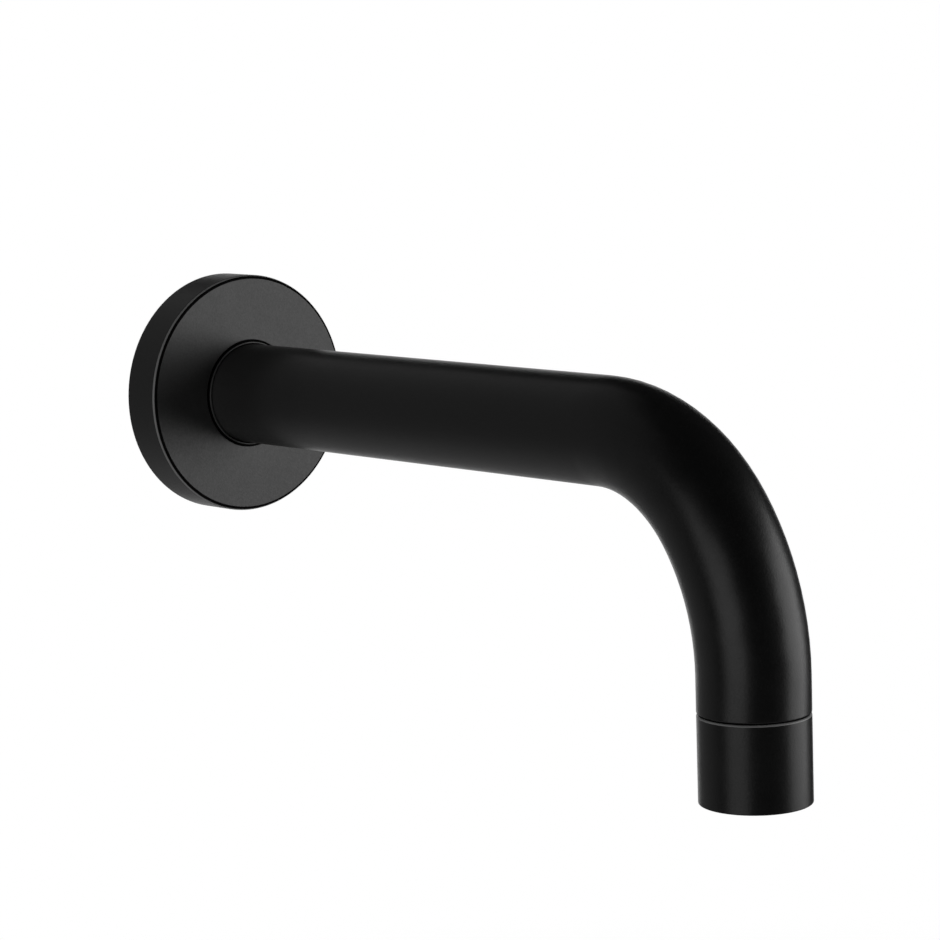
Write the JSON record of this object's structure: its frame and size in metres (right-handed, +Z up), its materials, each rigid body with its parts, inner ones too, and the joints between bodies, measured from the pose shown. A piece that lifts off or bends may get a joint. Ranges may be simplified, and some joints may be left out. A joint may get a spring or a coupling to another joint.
{
  "type": "bath spout",
  "caption": "Wall-mounted bath spout: a round flange, a straight tube that bends down at its end, and an outlet collar with an aerator, all in matte black.",
  "frame": {"origin": "on the axis of the tube's straight run, in the plane of the wall that the flange stands on", "axes": "+Y into the wall along the inlet thread, +Z up, the outlet points down along -Z"},
  "size_m": [0.06, 0.2115, 0.1076],
  "materials": {
    "matte_black": "matte black coat on brass",
    "brass": "turned",
    "rubber": "moulded",
    "aerator_plastic": "moulded",
    "stainless": "plain"
  },
  "bodies": {
    "root": {"spout_tube": "matte_black", "wall_flange": "matte_black", "outlet_collar": "matte_black", "inlet_sleeve": "brass", "wall_nipple": "brass", "set_screw": "stainless", "nipple_o_ring_1": "rubber", "nipple_o_ring_2": "rubber", "flange_o_ring": "rubber", "collar_o_ring": "rubber", "aerator_seal": "rubber", "aerator_housing": "aerator_plastic", "aerator_grid": "aerator_plastic", "aerator_jet_plate": "aerator_plastic", "aerator_strainer": "aerator_plastic"}
  },
  "joints": []
}
